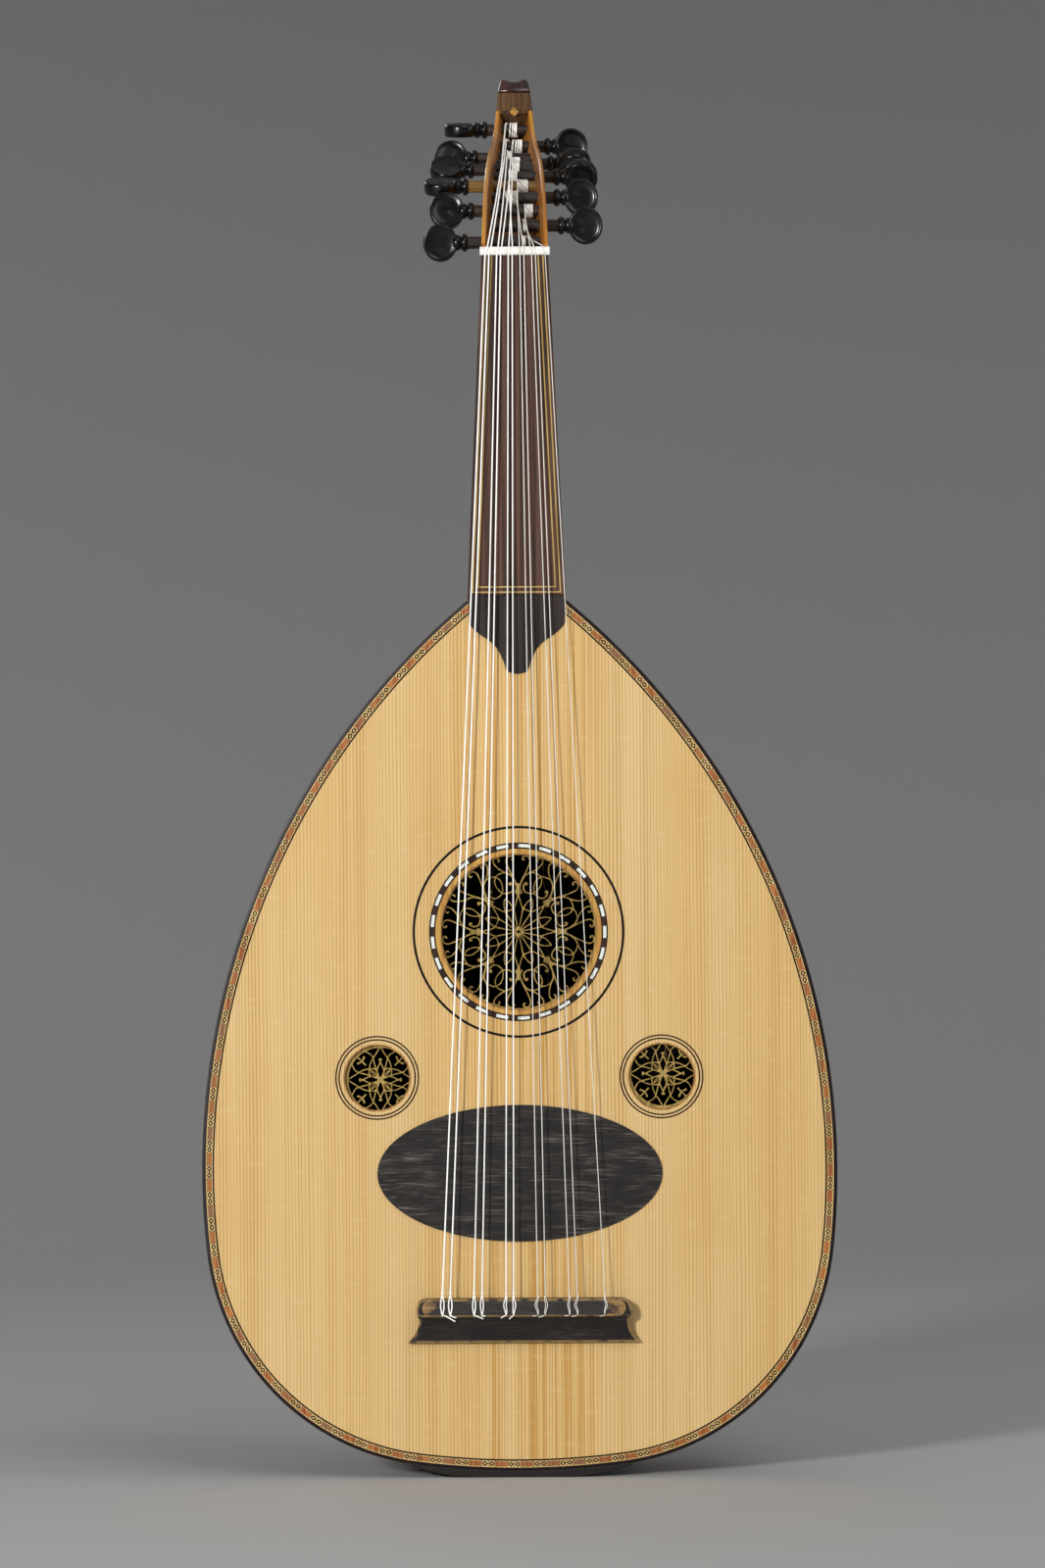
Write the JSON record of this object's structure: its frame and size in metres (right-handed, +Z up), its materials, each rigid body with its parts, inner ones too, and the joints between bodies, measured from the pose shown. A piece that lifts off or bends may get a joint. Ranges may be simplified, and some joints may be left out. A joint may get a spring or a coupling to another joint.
{
  "type": "oud",
  "caption": "Fretless short-necked lute with a ribbed pear-shaped bowl, pierced sound roses, a bent-back pegbox with friction pegs, and paired strings.",
  "frame": {"origin": "middle of the small flat on the end clasp, under the tail, on which the instrument is stood", "axes": "+Z up the neck towards the pegbox, -Y the side the soundboard and strings face, +X towards the treble strings"},
  "size_m": [0.3552, 0.1894, 0.8001],
  "materials": {
    "rib_dark_wood": "dark rosewood ribs under a thin gloss",
    "rib_light_wood": "walnut ribs under a thin gloss",
    "clasp_wood": "near-black hardwood, satin",
    "spruce": "fine straight grained spruce, aged and oiled, satin",
    "raw_spruce": "bare spruce",
    "binding_wood": "black stained edge strip, satin",
    "rose_wood": "thin pierced wood, olive gold, matt",
    "stained_wood": "black stained veneer, rubbed and scratched",
    "bridge_wood": "dark stained hardwood with worn brown ends",
    "neck_wood": "dark walnut, satin",
    "fingerboard_wood": "streaky rosewood, waxed",
    "tongue_wood": "black brown rosewood, matt",
    "bone": "polished bone",
    "cheek_wood": "amber varnished wood, semi gloss",
    "pegbox_back_wood": "brown varnished wood",
    "end_block_wood": "plain brown wood, matt",
    "cap_wood": "dark red brown polished wood",
    "ebony": "polished ebony",
    "wound_string": "silver wound string",
    "nylon_string": "clear cream nylon"
  },
  "bodies": {
    "instrument": {"rib_01": "rib_dark_wood", "rib_02": "rib_light_wood", "rib_03": "rib_dark_wood", "rib_04": "rib_light_wood", "rib_05": "rib_dark_wood", "rib_06": "rib_light_wood", "rib_07": "rib_dark_wood", "rib_08": "rib_light_wood", "rib_09": "rib_dark_wood", "rib_10": "rib_light_wood", "rib_11": "rib_dark_wood", "rib_12": "rib_light_wood", "rib_13": "rib_dark_wood", "rib_14": "rib_light_wood", "rib_15": "rib_dark_wood", "end_clasp": "clasp_wood", "neck_block": "raw_spruce", "tail_block": "raw_spruce", "soundboard": "spruce", "edge_binding": "binding_wood", "brace_1": "raw_spruce", "brace_2": "raw_spruce", "brace_3": "raw_spruce", "brace_4": "raw_spruce", "rose": "rose_wood", "side_rose_bass": "rose_wood", "side_rose_treble": "rose_wood", "pick_guard": "stained_wood", "bridge": "bridge_wood", "neck": "neck_wood", "fingerboard": "fingerboard_wood", "fingerboard_tongue": "tongue_wood", "nut": "bone", "pegbox_cheek_bass": "cheek_wood", "pegbox_cheek_treble": "cheek_wood", "pegbox_back": "pegbox_back_wood", "pegbox_end_block": "end_block_wood", "pegbox_cap": "cap_wood", "string_01": "wound_string", "string_02": "wound_string", "string_03": "wound_string", "string_04": "wound_string", "string_05": "wound_string", "string_06": "wound_string", "string_07": "nylon_string", "string_08": "nylon_string", "string_09": "nylon_string", "string_10": "nylon_string", "string_11": "nylon_string"},
    "peg_01": {"peg_01": "ebony"},
    "peg_02": {"peg_02": "ebony"},
    "peg_03": {"peg_03": "ebony"},
    "peg_04": {"peg_04": "ebony"},
    "peg_05": {"peg_05": "ebony"},
    "peg_06": {"peg_06": "ebony"},
    "peg_07": {"peg_07": "ebony"},
    "peg_08": {"peg_08": "ebony"},
    "peg_09": {"peg_09": "ebony"},
    "peg_10": {"peg_10": "ebony"},
    "peg_11": {"peg_11": "ebony"}
  },
  "joints": [
    {"name": "peg_01_turn", "type": "hinge", "parent": "instrument", "child": "peg_01", "pos_m": [0, -0.00038, 0.69241], "axis": [1, 0, 0], "range_deg": [-180, 90]},
    {"name": "peg_02_turn", "type": "hinge", "parent": "instrument", "child": "peg_02", "pos_m": [0, 0.01038, 0.70282], "axis": [1, 0, 0], "range_deg": [-180, 90]},
    {"name": "peg_03_turn", "type": "hinge", "parent": "instrument", "child": "peg_03", "pos_m": [0, 0.0219, 0.71239], "axis": [1, 0, 0], "range_deg": [-180, 90]},
    {"name": "peg_04_turn", "type": "hinge", "parent": "instrument", "child": "peg_04", "pos_m": [0, 0.03412, 0.72108], "axis": [1, 0, 0], "range_deg": [-180, 90]},
    {"name": "peg_05_turn", "type": "hinge", "parent": "instrument", "child": "peg_05", "pos_m": [0, 0.04697, 0.72883], "axis": [1, 0, 0], "range_deg": [-180, 90]},
    {"name": "peg_06_turn", "type": "hinge", "parent": "instrument", "child": "peg_06", "pos_m": [0, 0.06038, 0.7356], "axis": [1, 0, 0], "range_deg": [-180, 90]},
    {"name": "peg_07_turn", "type": "hinge", "parent": "instrument", "child": "peg_07", "pos_m": [0, 0.07428, 0.74134], "axis": [1, 0, 0], "range_deg": [-180, 90]},
    {"name": "peg_08_turn", "type": "hinge", "parent": "instrument", "child": "peg_08", "pos_m": [0, 0.08858, 0.74603], "axis": [1, 0, 0], "range_deg": [-180, 90]},
    {"name": "peg_09_turn", "type": "hinge", "parent": "instrument", "child": "peg_09", "pos_m": [0, 0.10472, 0.75121], "axis": [1, 0, 0], "range_deg": [-180, 90]},
    {"name": "peg_10_turn", "type": "hinge", "parent": "instrument", "child": "peg_10", "pos_m": [0, 0.12026, 0.75966], "axis": [1, 0, 0], "range_deg": [-180, 90]},
    {"name": "peg_11_turn", "type": "hinge", "parent": "instrument", "child": "peg_11", "pos_m": [0, 0.13377, 0.77101], "axis": [1, 0, 0], "range_deg": [-180, 90]}
  ]
}
